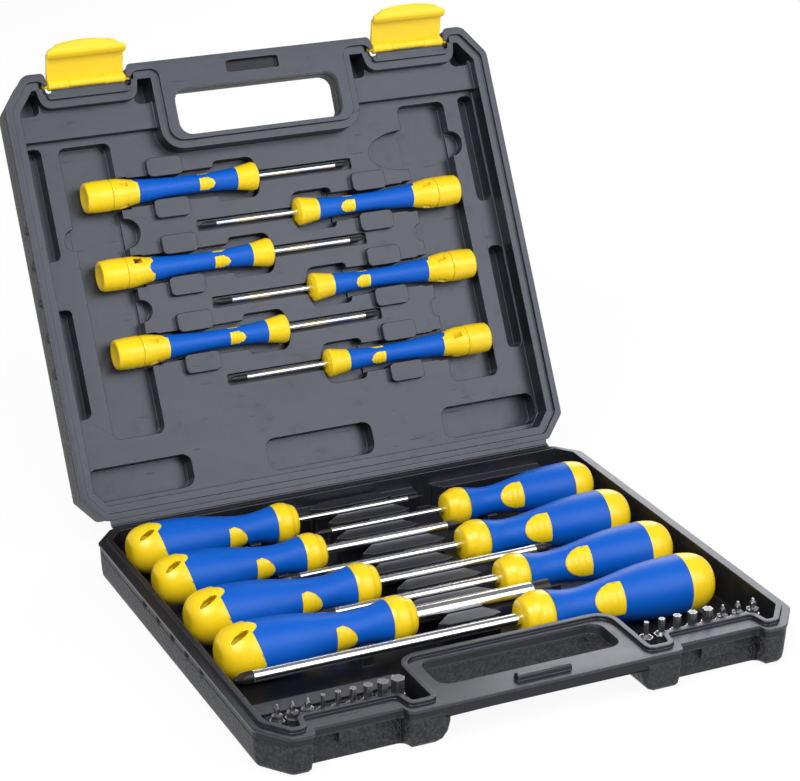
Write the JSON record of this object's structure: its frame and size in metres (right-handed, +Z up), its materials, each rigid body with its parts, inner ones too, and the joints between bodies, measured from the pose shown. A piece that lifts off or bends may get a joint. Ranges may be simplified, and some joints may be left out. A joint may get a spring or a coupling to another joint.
{
  "type": "hard tool case",
  "caption": "Blow-moulded hard case with snap latches and a living hinge, holding handled screwdrivers, precision screwdrivers and hex bits.",
  "frame": {"origin": "middle of the flat underside of the base half", "axes": "+Z up from the underside, +X along the hinge towards the right-hand latch, +Y from the handle to the hinge"},
  "size_m": [0.285, 0.381, 0.2524],
  "materials": {
    "case_outside": "fine grained black polyethylene",
    "case_inside": "smooth satin charcoal polyethylene",
    "latch_plastic": "satin yellow polypropylene",
    "yellow_plastic": "semi-gloss yellow hard plastic",
    "blue_grip": "satin blue soft-touch overmould",
    "shaft_chrome": "satin chrome plated steel",
    "bit_steel": "dark phosphated steel"
  },
  "bodies": {
    "base": {"base_shell": "case_outside", "base_tray": "case_inside", "base_hinge_leaf": "case_outside"},
    "lid": {"lid_shell": "case_outside", "lid_tray": "case_inside", "lid_hinge_leaf": "case_outside"},
    "left_latch": {"left_latch": "latch_plastic"},
    "right_latch": {"right_latch": "latch_plastic"},
    "driver_1": {"driver_1_shaft": "shaft_chrome", "driver_1_core": "yellow_plastic", "driver_1_grip": "blue_grip"},
    "driver_2": {"driver_2_shaft": "shaft_chrome", "driver_2_core": "yellow_plastic", "driver_2_grip": "blue_grip"},
    "driver_3": {"driver_3_shaft": "shaft_chrome", "driver_3_core": "yellow_plastic", "driver_3_grip": "blue_grip"},
    "driver_4": {"driver_4_shaft": "shaft_chrome", "driver_4_core": "yellow_plastic", "driver_4_grip": "blue_grip"},
    "driver_5": {"driver_5_shaft": "shaft_chrome", "driver_5_core": "yellow_plastic", "driver_5_grip": "blue_grip"},
    "driver_6": {"driver_6_shaft": "shaft_chrome", "driver_6_core": "yellow_plastic", "driver_6_grip": "blue_grip"},
    "driver_7": {"driver_7_shaft": "shaft_chrome", "driver_7_core": "yellow_plastic", "driver_7_grip": "blue_grip"},
    "driver_8": {"driver_8_shaft": "shaft_chrome", "driver_8_core": "yellow_plastic", "driver_8_grip": "blue_grip"},
    "precision_1": {"mini_1_blade": "shaft_chrome", "mini_1_core": "yellow_plastic", "mini_1_grip": "blue_grip"},
    "precision_1_cap": {"mini_1_cap": "yellow_plastic"},
    "precision_2": {"mini_2_blade": "shaft_chrome", "mini_2_core": "yellow_plastic", "mini_2_grip": "blue_grip"},
    "precision_2_cap": {"mini_2_cap": "yellow_plastic"},
    "precision_3": {"mini_3_blade": "shaft_chrome", "mini_3_core": "yellow_plastic", "mini_3_grip": "blue_grip"},
    "precision_3_cap": {"mini_3_cap": "yellow_plastic"},
    "precision_4": {"mini_4_blade": "shaft_chrome", "mini_4_core": "yellow_plastic", "mini_4_grip": "blue_grip"},
    "precision_4_cap": {"mini_4_cap": "yellow_plastic"},
    "precision_5": {"mini_5_blade": "shaft_chrome", "mini_5_core": "yellow_plastic", "mini_5_grip": "blue_grip"},
    "precision_5_cap": {"mini_5_cap": "yellow_plastic"},
    "precision_6": {"mini_6_blade": "shaft_chrome", "mini_6_core": "yellow_plastic", "mini_6_grip": "blue_grip"},
    "precision_6_cap": {"mini_6_cap": "yellow_plastic"},
    "pozi_bits": {"pozi_bits": "bit_steel"},
    "hex_bits": {"hex_bits": "bit_steel"},
    "torx_bits": {"torx_bits": "bit_steel"},
    "cross_bits": {"cross_bits": "bit_steel"}
  },
  "joints": [
    {"name": "lid_hinge", "type": "hinge", "parent": "base", "child": "lid", "pos_m": [0, 0.1235, 0.021], "axis": [-1, 0, 0], "range_deg": [-118.35, 36.65]},
    {"name": "left_latch_hinge", "type": "hinge", "parent": "lid", "child": "left_latch", "pos_m": [-0.09525, 0.23905, 0.22841], "axis": [-1, 0, 0], "range_deg": [-55, 55]},
    {"name": "right_latch_hinge", "type": "hinge", "parent": "lid", "child": "right_latch", "pos_m": [0.09525, 0.23905, 0.22841], "axis": [-1, 0, 0], "range_deg": [-55, 55]},
    {"name": "driver_1_lift", "type": "slide", "parent": "base", "child": "driver_1", "axis": [0, 0, 1], "range_m": [0, 0.05]},
    {"name": "driver_2_lift", "type": "slide", "parent": "base", "child": "driver_2", "axis": [0, 0, 1], "range_m": [0, 0.05]},
    {"name": "driver_3_lift", "type": "slide", "parent": "base", "child": "driver_3", "axis": [0, 0, 1], "range_m": [0, 0.05]},
    {"name": "driver_4_lift", "type": "slide", "parent": "base", "child": "driver_4", "axis": [0, 0, 1], "range_m": [0, 0.05]},
    {"name": "driver_5_lift", "type": "slide", "parent": "base", "child": "driver_5", "axis": [0, 0, 1], "range_m": [0, 0.05]},
    {"name": "driver_6_lift", "type": "slide", "parent": "base", "child": "driver_6", "axis": [0, 0, 1], "range_m": [0, 0.05]},
    {"name": "driver_7_lift", "type": "slide", "parent": "base", "child": "driver_7", "axis": [0, 0, 1], "range_m": [0, 0.05]},
    {"name": "driver_8_lift", "type": "slide", "parent": "base", "child": "driver_8", "axis": [0, 0, 1], "range_m": [0, 0.05]},
    {"name": "precision_1_lift", "type": "slide", "parent": "lid", "child": "precision_1", "axis": [0, -0.8801, 0.4749], "range_m": [0, 0.04]},
    {"name": "precision_1_cap_spin", "type": "hinge", "parent": "precision_1", "child": "precision_1_cap", "pos_m": [-0.099, 0.21839, 0.17012], "axis": [1, 0, 0], "continuous": true},
    {"name": "precision_2_lift", "type": "slide", "parent": "lid", "child": "precision_2", "axis": [0, -0.8801, 0.4749], "range_m": [0, 0.04]},
    {"name": "precision_2_cap_spin", "type": "hinge", "parent": "precision_2", "child": "precision_2_cap", "pos_m": [0.105, 0.20745, 0.14984], "axis": [1, 0, 0], "continuous": true},
    {"name": "precision_3_lift", "type": "slide", "parent": "lid", "child": "precision_3", "axis": [0, -0.8801, 0.4749], "range_m": [0, 0.04]},
    {"name": "precision_3_cap_spin", "type": "hinge", "parent": "precision_3", "child": "precision_3_cap", "pos_m": [-0.099, 0.19793, 0.13219], "axis": [1, 0, 0], "continuous": true},
    {"name": "precision_4_lift", "type": "slide", "parent": "lid", "child": "precision_4", "axis": [0, -0.8801, 0.4749], "range_m": [0, 0.04]},
    {"name": "precision_4_cap_spin", "type": "hinge", "parent": "precision_4", "child": "precision_4_cap", "pos_m": [0.105, 0.18698, 0.11191], "axis": [1, 0, 0], "continuous": true},
    {"name": "precision_5_lift", "type": "slide", "parent": "lid", "child": "precision_5", "axis": [0, -0.8801, 0.4749], "range_m": [0, 0.04]},
    {"name": "precision_5_cap_spin", "type": "hinge", "parent": "precision_5", "child": "precision_5_cap", "pos_m": [-0.099, 0.17746, 0.09426], "axis": [1, 0, 0], "continuous": true},
    {"name": "precision_6_lift", "type": "slide", "parent": "lid", "child": "precision_6", "axis": [0, -0.8801, 0.4749], "range_m": [0, 0.04]},
    {"name": "precision_6_cap_spin", "type": "hinge", "parent": "precision_6", "child": "precision_6_cap", "pos_m": [0.105, 0.16652, 0.07398], "axis": [1, 0, 0], "continuous": true},
    {"name": "pozi_bits_lift", "type": "slide", "parent": "base", "child": "pozi_bits", "axis": [0, 0, 1], "range_m": [0, 0.03]},
    {"name": "hex_bits_lift", "type": "slide", "parent": "base", "child": "hex_bits", "axis": [0, 0, 1], "range_m": [0, 0.03]},
    {"name": "torx_bits_lift", "type": "slide", "parent": "base", "child": "torx_bits", "axis": [0, 0, 1], "range_m": [0, 0.03]},
    {"name": "cross_bits_lift", "type": "slide", "parent": "base", "child": "cross_bits", "axis": [0, 0, 1], "range_m": [0, 0.03]}
  ]
}
